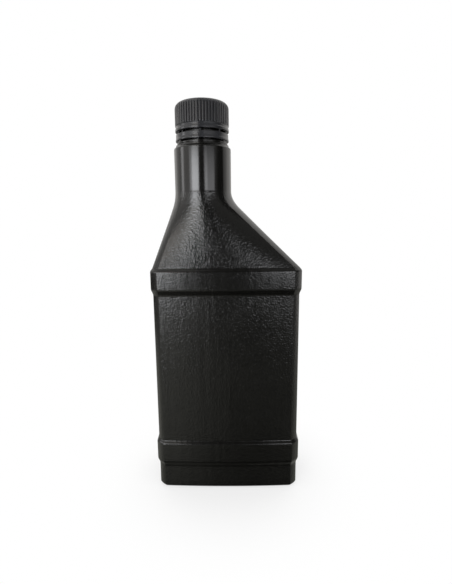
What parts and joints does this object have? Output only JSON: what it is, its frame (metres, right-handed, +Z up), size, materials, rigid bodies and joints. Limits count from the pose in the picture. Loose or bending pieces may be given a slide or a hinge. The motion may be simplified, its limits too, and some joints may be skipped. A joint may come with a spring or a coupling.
{
  "type": "motor oil bottle",
  "caption": "Black rectangular plastic oil bottle with two raised bands, a slanted shoulder, a long offset neck and a ribbed screw cap.",
  "frame": {"origin": "middle of the body's footprint, on the surface it stands on", "axes": "+Z up along the neck, +X along the broad faces away from the neck's side, +Y through the body's depth; the broad front face looks along -Y"},
  "size_m": [0.0902, 0.0444, 0.2343],
  "materials": {
    "bottle_hdpe": "fine grain, gloss on the neck",
    "cap_plastic": "semi-gloss",
    "liner_foam": "matt foam",
    "ring_plastic": "semi-gloss"
  },
  "bodies": {
    "bottle_body": {"bottle": "bottle_hdpe", "tamper_ring": "ring_plastic"},
    "liner_body": {"cap_liner": "liner_foam"},
    "cap_body": {"cap": "cap_plastic"}
  },
  "joints": [
    {"name": "cap_lift", "type": "slide", "parent": "bottle_body", "child": "liner_body", "axis": [0, 0, 1], "range_m": [0, 0.0224]},
    {"name": "cap_turn", "type": "hinge", "parent": "liner_body", "child": "cap_body", "pos_m": [-0.0134, 0, 0.2263], "axis": [0, 0, 1], "range_deg": [0, 2520]}
  ],
  "couplings": [
    {"joint": "cap_lift", "follows": "cap_turn", "m_per_rad": 0.00050929}
  ]
}
